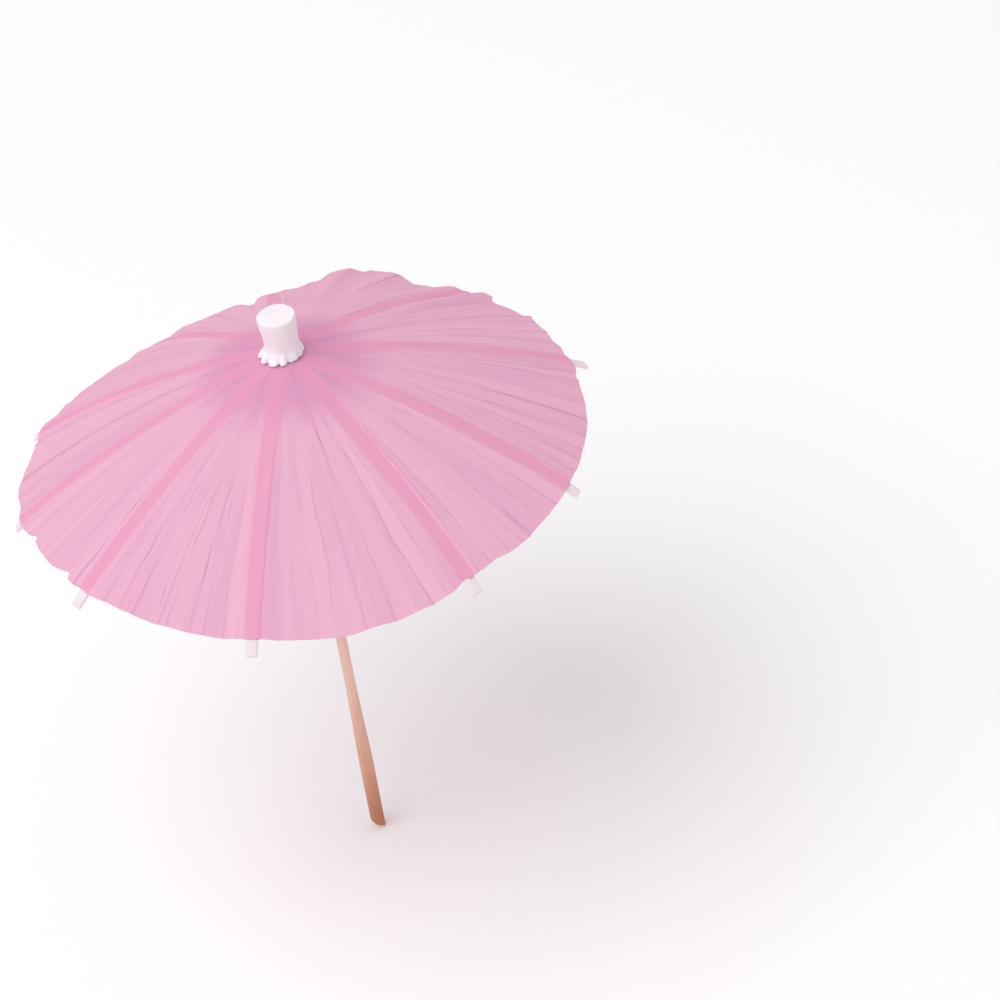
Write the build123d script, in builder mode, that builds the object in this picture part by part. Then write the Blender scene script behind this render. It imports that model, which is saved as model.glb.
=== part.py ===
from build123d import *
import os
from math import acos, atan2, cos, radians, sin, sqrt, tan

os.makedirs("parts", exist_ok=True)

# Driving sizes, in millimetres and degrees. The origin is the stick's lowest point, on its axis.

# Stick: a thin upper shaft that thickens to a foot with a slanted end
stick_length = 100.0
stick_diameter = 1.8
foot_diameter = 2.35
foot_length = 16.0
foot_taper = 14.0
cut_slant = 36.0
cut_azimuth = 15.0

# Canopy: paper radius when open, the slope of a rib's ends below level, and its upward bow at mid length
paper_radius = 41.5
paper_thickness = 0.15
open_slope = 22.8
rib_bow = 0.8
# Ribs are set by hand, so they stand unevenly round the stick
rib_azimuths = (-90.0, -46.5, -15.5, 25.0, 62.5, 106.5, 137.0, 172.5, 203.0, 233.5)
rib_width = 1.55
rib_thickness = 0.5
rib_tab = 2.0
rib_taper = 10.0

# Struts: distance of the strut's fold from the crown along the rib
strut_reach = 20.0
strut_thickness = 0.4

# Crown: depth of the rib folds below the stick's top, and the pieces that hold them
crown_depth = 6.6
crown_disc_thickness = 0.6
crown_collar_wall = 1.0
crown_collar_length = 4.0
centre_overhang = 0.25

# Cap over the crown
cap_diameter = 5.4
cap_top = 0.8
cap_edge = 0.5
skirt_diameter = 6.5
skirt_height = 1.4

# Runner and the ring that holds it up
sleeve_wall = 0.55
sleeve_length = 10.0
collar_wall = 0.65
collar_length = 7.5
collar_above_fold = 0.8
ring_wall = 0.75
ring_height = 1.4
ring_edge = 0.3

# Clearances
glue_gap = 0.01
running_gap = 0.06
ring_grip_gap = 0.03
fold_gap = 0.05
pivot_gap = 0.1
side_gap = 0.04
crease_gap = 0.4
pleat_gap = 0.25
# Each panel stops short of the middle of its gore, so that the two clear each other while they fold
pleat_trim = 1.7
band_start = 0.4
band_taper = 3.5
panel_start = 4.0

# Sizes that follow from these
up = Vector(0, 0, 1)
stick_radius = stick_diameter / 2
foot_radius = foot_diameter / 2
foot_top = foot_length + foot_taper
crown_height = stick_length - crown_depth
sleeve_bore = stick_radius + running_gap
sleeve_radius = sleeve_bore + sleeve_wall
collar_bore = sleeve_radius + glue_gap
collar_radius = collar_bore + collar_wall
crown_radius = collar_radius + pivot_gap + strut_thickness / 2
slope = radians(open_slope)
rib_length = (paper_radius - crown_radius) / cos(slope) + rib_tab
band_length = rib_length - rib_tab
crease_half = rib_width / 2 + fold_gap / 2
paper_level = rib_thickness + paper_thickness / 2
bow_radius = (band_length**2 / 4 + rib_bow**2) / (2 * rib_bow)
strut_bow = sqrt(bow_radius**2 - (strut_reach - band_length / 2) ** 2) - bow_radius + rib_bow
strut_drop = strut_thickness / 2 + fold_gap - strut_bow
strut_length = sqrt(strut_reach**2 + strut_drop**2)
strut_slope = slope + atan2(strut_drop, strut_reach)
runner_height = crown_height - 2 * strut_length * sin(strut_slope)
collar_top_height = runner_height + collar_above_fold
gores = [
    radians((later - sooner) % 360) / 2
    for sooner, later in zip(rib_azimuths, rib_azimuths[1:] + rib_azimuths[:1])
]
narrowest = tan(min(gores))
root_half = min(crown_radius * narrowest - side_gap, rib_width / 2)
strut_half = (crown_radius - strut_thickness / 2) * narrowest - side_gap


def directions(azimuth):
    """Outward direction of a rib seen from above, and the direction square to it."""
    turn = radians(azimuth)
    outward = Vector(cos(turn), sin(turn), 0)
    sideways = Vector(-sin(turn), cos(turn), 0)
    return outward, sideways


def rib_plane(azimuth):
    """Plane of a rib's underside: origin on its fold at the crown, X down the rib, Z out of the canopy."""
    outward, _ = directions(azimuth)
    along = outward * cos(slope) - up * sin(slope)
    normal = outward * sin(slope) + up * cos(slope)
    return Plane(outward * crown_radius + up * crown_height, x_dir=along, z_dir=normal)


def side_view(plane, outer):
    """Side view of a bowed strip: X down the strip, Y out of the canopy."""
    return Plane(plane.origin, x_dir=plane.x_dir, z_dir=plane.x_dir.cross(outer))


def bow_height(along):
    """Height of the bowed canopy over a straight one, at a distance from the fold at the crown."""
    return sqrt(bow_radius**2 - (along - band_length / 2) ** 2) - bow_radius + rib_bow


def bowed_outline(start, end, low, high, ahead=0.0):
    """Closed outline of a bowed strip in its side view, between two heights over the straight one."""
    lower = [(place, bow_height(place + ahead) + low) for place in (start, (start + end) / 2, end)]
    upper = [(place, bow_height(place + ahead) + high) for place in (end, (start + end) / 2, start)]
    ThreePointArc(*lower)
    Line(lower[2], upper[0])
    ThreePointArc(*upper)
    Line(upper[2], lower[0])


def strut_plane(azimuth):
    """Side view of a strut: origin halfway between its two folds, X from the rib to the runner."""
    outward, sideways = directions(azimuth)
    inward = outward * -cos(strut_slope) - up * sin(strut_slope)
    runner_fold = outward * crown_radius + up * runner_height
    return Plane(runner_fold - inward * (strut_length / 2), x_dir=inward, z_dir=sideways)


def panel_shape(half_gore):
    """A half gore of the paper: crease start along the rib, wedge angle, fall below the rib, and length."""
    apex_radius = crease_half / tan(half_gore)
    apex_along = (apex_radius - crown_radius - paper_level * sin(slope)) / cos(slope)
    wedge = acos(cos(slope) ** 2 * cos(half_gore) + sin(slope) ** 2)
    rise = cos(slope) * sin(slope) * (cos(half_gore) - 1)
    fall = atan2(rise, cos(slope) * sin(half_gore))
    length = (paper_radius - apex_radius) / cos(slope)
    return apex_along, wedge, fall, length


def panel_plane(azimuth, side, apex_along, fall):
    """Plane of a half gore: origin where its creases meet, X down the rib crease, Y towards the pleat."""
    rib = rib_plane(azimuth)
    origin = rib.from_local_coords((apex_along, side * crease_half, paper_level))
    pleatwards = rib.y_dir * (side * cos(fall)) + rib.z_dir * sin(fall)
    return Plane(origin, x_dir=rib.x_dir, z_dir=rib.x_dir.cross(pleatwards))


# Stick, turned and then cut off at a slant
with BuildPart() as stick:
    with BuildSketch(Plane.XZ):
        with BuildLine():
            Polyline(
                (0, 0),
                (foot_radius, 0),
                (foot_radius, foot_length),
                (stick_radius, foot_top),
                (stick_radius, stick_length),
                (0, stick_length),
                close=True,
            )
        make_face()
    revolve(axis=Axis.Z)
    cut_side, _ = directions(cut_azimuth)
    cut_normal = cut_side * sin(radians(cut_slant)) + up * cos(radians(cut_slant))
    split(bisect_by=Plane(cut_side * foot_radius, z_dir=cut_normal), keep=Keep.TOP)
stick.part.label = "stick"
export_step(stick.part, "parts/stick.step")

# Crown: a rolled collar glued to the stick, a disc on it that the ribs fold from, and the paper's centre
with BuildPart() as crown_collar:
    with BuildSketch(Plane.XY.offset(crown_height - crown_collar_length)):
        Circle(stick_radius + glue_gap + crown_collar_wall)
        Circle(stick_radius + glue_gap, mode=Mode.SUBTRACT)
    extrude(amount=crown_collar_length)
crown_collar.part.label = "crown_collar"
export_step(crown_collar.part, "parts/crown_collar.step")

with BuildPart() as crown_disc:
    with BuildSketch(Plane.XY.offset(crown_height)):
        Circle(crown_radius - fold_gap)
        Circle(stick_radius + glue_gap, mode=Mode.SUBTRACT)
    extrude(amount=crown_disc_thickness)
crown_disc.part.label = "crown_disc"
export_step(crown_disc.part, "parts/crown_disc.step")

with BuildPart() as canopy_centre:
    with BuildSketch(Plane.XY.offset(crown_height + crown_disc_thickness)):
        Circle(crown_radius + centre_overhang)
        Circle(stick_radius + glue_gap, mode=Mode.SUBTRACT)
    extrude(amount=paper_thickness)
canopy_centre.part.label = "canopy_centre"
export_step(canopy_centre.part, "parts/canopy_centre.step")

# Cap: a stopped tube with a flared skirt, pushed over the stick's top
cap_foot_height = crown_height + crown_disc_thickness + paper_thickness
cap_top_height = stick_length + cap_top
with BuildPart() as cap:
    with BuildSketch(Plane.XZ):
        with BuildLine():
            Polyline(
                (0, cap_foot_height),
                (skirt_diameter / 2, cap_foot_height),
                (cap_diameter / 2, cap_foot_height + skirt_height),
                (cap_diameter / 2, cap_top_height),
                (0, cap_top_height),
                close=True,
            )
        make_face()
    revolve(axis=Axis.Z)
    fillet(cap.edges().group_by(Axis.Z)[-1], cap_edge)
    with BuildSketch(Plane.XY.offset(cap_foot_height)):
        Circle(stick_radius + glue_gap)
    extrude(amount=stick_length - cap_foot_height, mode=Mode.SUBTRACT)
cap.part.label = "cap"
export_step(cap.part, "parts/cap.step")

# Runner: a rolled sleeve that slides on the stick, and the collar round it that the struts fold from
with BuildPart() as runner_sleeve:
    with BuildSketch(Plane.XY.offset(collar_top_height - sleeve_length)):
        Circle(sleeve_radius)
        Circle(sleeve_bore, mode=Mode.SUBTRACT)
    extrude(amount=sleeve_length)
runner_sleeve.part.label = "runner_sleeve"
export_step(runner_sleeve.part, "parts/runner_sleeve.step")

with BuildPart() as runner_collar:
    with BuildSketch(Plane.XY.offset(collar_top_height - collar_length)):
        Circle(collar_radius)
        Circle(collar_bore, mode=Mode.SUBTRACT)
    extrude(amount=collar_length)
runner_collar.part.label = "runner_collar"
export_step(runner_collar.part, "parts/runner_collar.step")

# Ring under the sleeve: it grips the stick and keeps the runner up
ring_bore = stick_radius + ring_grip_gap
ring_top_height = collar_top_height - sleeve_length - fold_gap
with BuildPart() as retaining_ring:
    with BuildSketch(Plane.XY.offset(ring_top_height - ring_height)):
        Circle(ring_bore + ring_wall)
        Circle(ring_bore, mode=Mode.SUBTRACT)
    extrude(amount=ring_height)
    outer_edges = retaining_ring.edges().filter_by(GeomType.CIRCLE).sort_by(SortBy.RADIUS)[-2:]
    fillet(outer_edges, ring_edge)
retaining_ring.part.label = "retaining_ring"
export_step(retaining_ring.part, "parts/retaining_ring.step")

# Ribs: bowed card strips that narrow towards the crown and end in a bare tab past the paper
for number, azimuth in enumerate(rib_azimuths, start=1):
    underside = rib_plane(azimuth)
    with BuildPart() as rib:
        with BuildSketch(side_view(underside, underside.z_dir)):
            with BuildLine():
                bowed_outline(fold_gap, rib_length, 0, rib_thickness)
            make_face()
        extrude(amount=rib_width, both=True)
        with BuildSketch(underside):
            with BuildLine():
                Polyline(
                    (fold_gap, -root_half),
                    (rib_taper, -rib_width / 2),
                    (rib_length, -rib_width / 2),
                    (rib_length, rib_width / 2),
                    (rib_taper, rib_width / 2),
                    (fold_gap, root_half),
                    close=True,
                )
            make_face()
        extrude(amount=2 * (rib_bow + rib_thickness), both=True, mode=Mode.INTERSECT)
    rib.part.label = f"rib_{number:02d}"
    export_step(rib.part, f"parts/rib_{number:02d}.step")

# Bands: the strip of the paper that is glued along each rib, bowed with it
band_half = crease_half - fold_gap
band_root_half = min(root_half, band_half)
for number, azimuth in enumerate(rib_azimuths, start=1):
    underside = rib_plane(azimuth)
    with BuildPart() as band:
        with BuildSketch(side_view(underside, underside.z_dir)):
            with BuildLine():
                bowed_outline(band_start, band_length, rib_thickness, rib_thickness + paper_thickness)
            make_face()
        extrude(amount=rib_width, both=True)
        with BuildSketch(underside):
            with BuildLine():
                Polyline(
                    (band_start, -band_root_half),
                    (band_taper, -band_half),
                    (band_length, -band_half),
                    (band_length, band_half),
                    (band_taper, band_half),
                    (band_start, band_root_half),
                    close=True,
                )
            make_face()
        extrude(amount=2 * (rib_bow + rib_thickness), both=True, mode=Mode.INTERSECT)
    band.part.label = f"canopy_band_{number:02d}"
    export_step(band.part, f"parts/canopy_band_{number:02d}.step")

# Struts: card strips with a round fold at each end, from under the rib to the runner
for number, azimuth in enumerate(rib_azimuths, start=1):
    with BuildPart() as strut:
        with BuildSketch(strut_plane(azimuth)):
            SlotCenterToCenter(strut_length, strut_thickness)
        extrude(amount=strut_half, both=True)
    strut.part.label = f"strut_{number:02d}"
    export_step(strut.part, f"parts/strut_{number:02d}.step")

# Panels: half a gore on each side of a rib, bowed with it, from the rib's crease almost to the middle of the gore
for number, azimuth in enumerate(rib_azimuths, start=1):
    for name, side, half_gore in (("left", -1, gores[number - 2]), ("right", 1, gores[number - 1])):
        apex_along, wedge, fall, length = panel_shape(half_gore)
        pleat = wedge - radians(pleat_trim)
        inner = panel_start - apex_along
        pleat_inner = ((inner - pleat_gap * sin(pleat)) * tan(pleat)) - pleat_gap * cos(pleat)
        pleat_run = sqrt(length**2 - pleat_gap**2)
        pleat_end = Vector(cos(pleat), sin(pleat)) * pleat_run + Vector(sin(pleat), -cos(pleat)) * pleat_gap
        crease_end = Vector(sqrt(length**2 - crease_gap**2), crease_gap)
        rim_middle = (crease_end + pleat_end).normalized() * length
        flat = panel_plane(azimuth, side, apex_along, fall)
        with BuildPart() as panel:
            with BuildSketch(side_view(flat, flat.z_dir * side)):
                with BuildLine():
                    bowed_outline(inner, length, -paper_thickness / 2, paper_thickness / 2, apex_along)
                make_face()
            extrude(amount=length, both=True)
            with BuildSketch(flat):
                with BuildLine():
                    Line((inner, crease_gap), crease_end)
                    ThreePointArc(crease_end, rim_middle, pleat_end)
                    Line(pleat_end, (inner, pleat_inner))
                    Line((inner, pleat_inner), (inner, crease_gap))
                make_face()
            extrude(amount=2 * (rib_bow + paper_thickness), both=True, mode=Mode.INTERSECT)
        panel.part.label = f"canopy_panel_{number:02d}_{name}"
        export_step(panel.part, f"parts/canopy_panel_{number:02d}_{name}.step")
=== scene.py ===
"""Looks of a paper cocktail umbrella on a wooden pick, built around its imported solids."""

from __future__ import annotations

import logging
from collections.abc import Iterator, Sequence
from contextlib import contextmanager
from dataclasses import dataclass, field
from enum import Enum, IntEnum
from math import acos, atan2, cos, pi, radians, sin, tan, tau
from typing import Any, Union

import bpy
import numpy as np
from mathutils import Matrix, Vector


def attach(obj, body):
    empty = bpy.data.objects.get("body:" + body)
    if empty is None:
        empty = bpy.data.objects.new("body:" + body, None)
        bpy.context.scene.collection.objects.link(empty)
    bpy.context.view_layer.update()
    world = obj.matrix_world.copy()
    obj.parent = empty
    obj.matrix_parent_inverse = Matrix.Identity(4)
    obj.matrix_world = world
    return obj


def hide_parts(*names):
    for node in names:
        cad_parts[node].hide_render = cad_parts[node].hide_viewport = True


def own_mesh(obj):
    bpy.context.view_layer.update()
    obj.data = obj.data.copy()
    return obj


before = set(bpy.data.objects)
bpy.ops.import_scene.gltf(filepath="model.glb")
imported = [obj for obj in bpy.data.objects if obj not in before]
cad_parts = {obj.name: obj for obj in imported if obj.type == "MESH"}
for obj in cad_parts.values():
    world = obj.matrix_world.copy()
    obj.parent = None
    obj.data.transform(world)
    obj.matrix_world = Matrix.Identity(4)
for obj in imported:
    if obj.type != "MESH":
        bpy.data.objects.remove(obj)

logging.basicConfig(level=logging.INFO, format="%(message)s")
log = logging.getLogger("umbrella")

MM = 0.001
Colour = tuple[float, float, float, float]
Profile = Sequence[tuple[float, float]]
Piece, Material, Array = bpy.types.Object, bpy.types.Material, np.ndarray
Number = Union[float, Array]
UP = np.array((0.0, 0.0, 1.0))
FLAT_SPAN = 50.0  # millimetres of paper or card to one unit of its UV map


class Side(Enum):
    """Side of a rib, looking out along it from the crown."""

    LEFT = -1
    RIGHT = 1


class Seed(IntEnum):
    """Seeds of the noise and of the small chances in the pieces."""

    RIM_CUT = 3
    RIM_TEAR = 5
    RIM_FIBRE = 6
    ROLL_EDGE = 11
    STREAK = 21
    WOBBLE = 23
    FLUTTER = 31
    COCKLE = 32
    CRIMP = 41
    PUCKER = 61
    LEAN = 62
    DENT = 63
    FRAY = 64
    SPLINTER = 71
    GORE = 100
    RIB = 500
    RIB_EDGE = 510
    STRUT = 700
    STRUT_EDGE = 710
    TAIL = 800


def shade(red: int, green: int, blue: int) -> Colour:
    """Linear colour of a shade given as it shows on a display.

    Args:
        red: Red from 0 to 255.
        green: Green from 0 to 255.
        blue: Blue from 0 to 255.

    Returns:
        The linear colour with full alpha.
    """
    parts = [value / 255 for value in (red, green, blue)]
    linear = [p / 12.92 if p <= 0.04045 else ((p + 0.055) / 1.055) ** 2.4 for p in parts]
    return (linear[0], linear[1], linear[2], 1.0)


def ease(low: float, high: float, value: Number) -> Number:
    """Smooth step from 0 at low to 1 at high."""
    share = np.clip((value - low) / (high - low), 0.0, 1.0)
    return share * share * (3 - 2 * share)


def polar(points: Array) -> tuple[Array, Array]:
    """Distance from the stick's axis, and azimuth in radians, of each place."""
    return np.hypot(points[..., 0], points[..., 1]), np.arctan2(points[..., 1], points[..., 0])


def swell(azimuth: Array, middle: float, half_width: float) -> Array:
    """Bump from 1 about a middle to 0 at a half width, both in degrees, at azimuths in radians."""
    away = np.abs((np.degrees(azimuth) - middle + 180) % 360 - 180)
    return 1 - ease(0.3, 1.0, away / half_width)


@dataclass(frozen=True)
class Grain:
    """Seeded smooth noise on a grid that repeats in both directions.

    Attributes:
        seed: Seed of the grid's values.
        rows: Rows before the noise repeats.
        columns: Columns before the noise repeats.
    """

    seed: int
    rows: int = 48
    columns: int = 48

    def at(self, row: Number, column: Number) -> Array:
        """Noise from -1 to 1.

        Args:
            row: Place along the rows, in cells.
            column: Place along the columns, in cells.

        Returns:
            The noise at each place.
        """
        table = np.random.default_rng(self.seed).uniform(-1, 1, (self.rows, self.columns))
        row, column = np.broadcast_arrays(np.asarray(row, float), np.asarray(column, float))
        low_row, low_column = np.floor(row).astype(int), np.floor(column).astype(int)
        part_row, part_column = ease(0, 1, row - low_row), ease(0, 1, column - low_column)
        total = np.zeros(row.shape)
        for step_row in (0, 1):
            for step_column in (0, 1):
                weight_row = part_row if step_row else 1 - part_row
                weight_column = part_column if step_column else 1 - part_column
                corner = table[(low_row + step_row) % self.rows, (low_column + step_column) % self.columns]
                total += corner * weight_row * weight_column
        return total


class Wire:
    """A value in a finish's node tree. Arithmetic on it adds Math nodes."""

    def __init__(self, tree: FinishTree, socket: bpy.types.NodeSocket) -> None:
        """Wraps an output socket of a tree."""
        self.tree = tree
        self.socket = socket

    def __add__(self, other: Feed) -> Wire:
        """Sum."""
        return self.tree.maths("ADD", self, other)

    def __radd__(self, other: Feed) -> Wire:
        """Sum with a number in front."""
        return self.tree.maths("ADD", other, self)

    def __sub__(self, other: Feed) -> Wire:
        """Difference."""
        return self.tree.maths("SUBTRACT", self, other)

    def __rsub__(self, other: Feed) -> Wire:
        """Difference from a number in front."""
        return self.tree.maths("SUBTRACT", other, self)

    def __mul__(self, other: Feed) -> Wire:
        """Product."""
        return self.tree.maths("MULTIPLY", self, other)

    def __rmul__(self, other: Feed) -> Wire:
        """Product with a number in front."""
        return self.tree.maths("MULTIPLY", other, self)


Feed = Union[Wire, float, Colour, tuple[float, float, float]]


class FinishTree:
    """The node tree of one material, or of the world round the part."""

    def __init__(self, name: str, world: bool = False) -> None:
        """Starts an empty tree in a new material or world."""
        self.owner = (bpy.data.worlds if world else bpy.data.materials).new(name)
        self.owner.use_nodes = True
        self.nodes, self.links = self.owner.node_tree.nodes, self.owner.node_tree.links
        self.nodes.clear()

    def node(self, kind: str, settings: dict[str, Any], feeds: dict[Union[str, int], Feed]) -> bpy.types.Node:
        """Adds a node.

        Args:
            kind: The node's type.
            settings: Its own settings, set first.
            feeds: Values or wires for its inputs, by name or place.

        Returns:
            The new node.
        """
        made = self.nodes.new(kind)
        for key, value in settings.items():
            setattr(made, key, value)
        for key, value in feeds.items():
            if isinstance(value, Wire):
                self.links.new(value.socket, made.inputs[key])
            else:
                made.inputs[key].default_value = value
        return made

    def wire(
        self, kind: str, settings: dict[str, Any], feeds: dict[Union[str, int], Feed], output: Union[str, int] = 0
    ) -> Wire:
        """Adds a node and returns one of its outputs."""
        return Wire(self, self.node(kind, settings, feeds).outputs[output])

    def maths(self, operation: str, first: Feed, second: Feed) -> Wire:
        """Adds a Math node for two values."""
        return self.wire("ShaderNodeMath", {"operation": operation}, {0: first, 1: second})

    def between(self, low: float, high: float, value: Wire) -> Wire:
        """Smooth step of a value from 0 at low to 1 at high."""
        settings = {"interpolation_type": "SMOOTHSTEP"}
        return self.wire("ShaderNodeMapRange", settings, {"Value": value, "From Min": low, "From Max": high})

    def mix(self, share: Feed, first: Feed, second: Feed) -> Wire:
        """Mixes two colours by a share."""
        return self.wire("ShaderNodeMix", {"data_type": "RGBA"}, {0: share, 6: first, 7: second}, 2)

    def mark(self, name: str) -> Wire:
        """A number that the piece's points carry under a name."""
        settings = {"attribute_name": name, "attribute_type": "GEOMETRY"}
        return self.wire("ShaderNodeAttribute", settings, {}, "Fac")

    def place(self, kind: str, stretch: Sequence[float] = (1.0, 1.0, 1.0), turn: float = 0.0) -> Wire:
        """Coordinates on a piece.

        Args:
            kind: UV or Object.
            stretch: Scale along each axis.
            turn: Turn about the third axis in degrees.

        Returns:
            The coordinates, turned and scaled.
        """
        source = self.wire("ShaderNodeTexCoord", {}, {}, kind)
        feeds = {"Vector": source, "Rotation": (0.0, 0.0, radians(turn)), "Scale": stretch}
        return self.wire("ShaderNodeMapping", {}, feeds)

    def noise(self, where: Wire, scale: float, detail: float = 3.0, rough: float = 0.55) -> Wire:
        """Noise about 0.5 at coordinates."""
        feeds = {"Vector": where, "Scale": scale, "Detail": detail, "Roughness": rough}
        return self.wire("ShaderNodeTexNoise", {}, feeds)

    def bump(self, height: Wire, strength: float, distance: float) -> Wire:
        """Surface normal from a height."""
        return self.wire("ShaderNodeBump", {}, {"Strength": strength, "Distance": distance, "Height": height})

    def surface(self, colour: Feed, rough: Feed, bump: Wire, **constants: float) -> bpy.types.Node:
        """Adds the main shader.

        Args:
            colour: Base colour.
            rough: Roughness.
            bump: Normal.
            constants: Other inputs, with spaces as underscores.

        Returns:
            The shader node.
        """
        feeds: dict[Union[str, int], Feed] = {"Base Color": colour, "Roughness": rough, "Normal": bump}
        feeds.update({key.replace("_", " "): value for key, value in constants.items()})
        return self.node("ShaderNodeBsdfPrincipled", {}, feeds)

    def finish(self, shader: bpy.types.Node) -> Union[Material, bpy.types.World]:
        """Sends a shader to the output and returns the material or world."""
        kind = "ShaderNodeOutputWorld" if isinstance(self.owner, bpy.types.World) else "ShaderNodeOutputMaterial"
        self.node(kind, {}, {"Surface": Wire(self, shader.outputs[0])})
        return self.owner


@dataclass(frozen=True)
class TissueFinish:
    """Thin dyed tissue: deeper along the glued ribs and round the crown, with painted shade and painted highlights at
    its pressed creases and on the facets between them.
    """

    paper: Colour = shade(240, 195, 218)
    band: Colour = shade(255, 176, 213)
    hub: Colour = shade(223, 161, 199)
    # Painted shade in the creases and on darker facets, also used to darken random streaks.
    shade_and_streak: Colour = shade(206, 140, 181)
    # Painted highlight beside the creases and on lighter facets, also used to lighten random streaks and pale fibres.
    highlight_streak_and_fibre: Colour = shade(247, 215, 231)
    glow: Colour = shade(248, 196, 222)
    see_through: float = 0.3

    def make(self) -> Material:
        """Makes the material."""
        tree = FinishTree("tissue_paper")
        fibres = tree.noise(tree.place("UV", (46.0, 7.0, 1.0), 32), 1.6, 4)
        fibres += tree.noise(tree.place("UV", (7.0, 40.0, 1.0), 15), 1.5, 4)
        cloud = tree.noise(tree.place("UV"), 9.0, 4, 0.6)
        tone, crease = tree.mark("tone"), tree.mark("crease")
        colour = tree.mix(tree.mark("hub") * 0.8, self.paper, self.hub)
        colour = tree.mix(tree.mark("band") * (0.74 + 0.4 * (cloud - 0.5)), colour, self.band)
        # Painted highlight on lighter facets, mixed with lighter random streaks and pale fibres.
        light = tree.between(0.0, 1.0, tone) * 0.22 + tree.between(0.98, 1.4, fibres) * 0.12
        colour = tree.mix(light, colour, self.highlight_streak_and_fibre)
        # Painted shade on darker facets, mixed with darker random streaks.
        colour = tree.mix(tree.between(0.0, 1.0, 0.0 - tone) * 0.2, colour, self.shade_and_streak)
        # Painted highlight beside each crease, then painted shade in it.
        colour = tree.mix(tree.between(0.1, 1.0, crease) * 0.6, colour, self.highlight_streak_and_fibre)
        colour = tree.mix(tree.between(0.05, 0.9, 0.0 - crease) * 0.75, colour, self.shade_and_streak)
        height = fibres * 0.5 + cloud
        rough = 0.62 + 0.16 * cloud
        shader = tree.surface(colour, rough, tree.bump(height, 0.3, 0.0001), Specular_IOR_Level=0.25)
        back = tree.node("ShaderNodeBsdfTranslucent", {}, {"Color": self.glow})
        feeds = {0: self.see_through, 1: Wire(tree, shader.outputs[0]), 2: Wire(tree, back.outputs[0])}
        return tree.finish(tree.node("ShaderNodeMixShader", {}, feeds))


@dataclass(frozen=True)
class CardFinish:
    """Plain uncoated card with a fibrous face, stained in clouds and along its fibres."""

    name: str
    face: Colour
    stain: Colour

    def make(self) -> Material:
        """Makes the material."""
        tree = FinishTree(self.name)
        fibres = tree.noise(tree.place("UV"), 60.0, 5, 0.65)
        cloud = tree.noise(tree.place("UV"), 11.0, 3)
        colour = tree.mix(tree.between(0.42, 0.72, cloud) * 0.7, self.face, self.stain)
        colour = tree.mix(tree.between(0.55, 0.8, fibres) * 0.35, colour, self.stain)
        rough = 0.72 + 0.2 * (fibres - 0.5)
        shader = tree.surface(colour, rough, tree.bump(fibres, 0.4, 0.00008), Specular_IOR_Level=0.25)
        return tree.finish(shader)


@dataclass(frozen=True)
class CapFinish:
    """Soft white crepe paper of the cap, with painted shade low in the gaps of its frayed foot."""

    white: Colour = shade(248, 239, 244)
    # Grey of the painted shade in the foot's gaps; the cloud mottles towards it too.
    hollow: Colour = shade(226, 204, 216)

    def make(self) -> Material:
        """Makes the material."""
        tree = FinishTree("cap_paper")
        fine = tree.noise(tree.place("Object", (1.0, 1.0, 0.35)), 2600.0, 4, 0.6)
        cloud = tree.noise(tree.place("Object"), 420.0, 3)
        # Painted shade low in the gaps between the foot's petals.
        colour = tree.mix(tree.mark("hollow") * 0.85, self.white, self.hollow)
        # Cloudy mottling towards the same grey.
        colour = tree.mix(tree.between(0.5, 0.75, cloud) * 0.25, colour, self.hollow)
        rough = 0.5 + 0.25 * cloud
        shader = tree.surface(colour, rough, tree.bump(fine + cloud, 0.3, 0.00012), Specular_IOR_Level=0.35)
        return tree.finish(shader)


@dataclass(frozen=True)
class WoodFinish:
    """Split softwood of the pick, darker towards its foot."""

    pale: Colour = shade(240, 200, 186)
    warm: Colour = shade(212, 150, 122)
    dark: Colour = shade(164, 96, 66)
    shading: tuple[float, float] = (0.036, 0.004)

    def make(self) -> Material:
        """Makes the material."""
        tree = FinishTree("stick_wood")
        grain = tree.noise(tree.place("Object", (2600.0, 2600.0, 60.0)), 1.0, 5, 0.65)
        pores = tree.noise(tree.place("Object", (5200.0, 5200.0, 150.0)), 1.0, 4, 0.6)
        fleck = tree.noise(tree.place("Object", (700.0, 700.0, 160.0)), 1.0, 2)
        height = tree.wire("ShaderNodeSeparateXYZ", {}, {0: tree.place("Object")}, "Z")
        low = tree.between(*self.shading, height + 0.012 * (fleck - 0.5))
        colour = tree.mix(low, self.pale, self.warm)
        colour = tree.mix(tree.between(0.014, 0.0, height) * 0.6, colour, self.dark)
        colour = tree.mix(tree.between(0.5, 0.78, grain) * 0.6, colour, self.warm)
        marks = tree.between(0.6, 0.8, pores) * 0.5 + tree.between(0.66, 0.78, fleck) * 0.5
        colour = tree.mix(marks, colour, self.dark)
        rough = 0.48 + 0.3 * grain
        shader = tree.surface(colour, rough, tree.bump(grain + pores * 0.5, 0.5, 0.00012), Specular_IOR_Level=0.35)
        return tree.finish(shader)


@dataclass(frozen=True)
class RolledFinish:
    """Coarse paper of the rolled tubes, with the edges of its turns."""

    face: Colour = shade(222, 212, 196)
    speck: Colour = shade(176, 160, 140)

    def make(self) -> Material:
        """Makes the material."""
        tree = FinishTree("rolled_paper")
        fibres = tree.noise(tree.place("Object", (1.0, 1.0, 0.4)), 1900.0, 5, 0.65)
        cloud = tree.noise(tree.place("Object"), 360.0, 3)
        colour = tree.mix(tree.between(0.5, 0.75, fibres) * 0.6, self.face, self.speck)
        colour = tree.mix(tree.between(0.55, 0.7, cloud) * 0.25, colour, self.speck)
        shader = tree.surface(colour, 0.7 + 0.2 * cloud, tree.bump(fibres, 0.4, 0.0001), Specular_IOR_Level=0.25)
        return tree.finish(shader)


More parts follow.
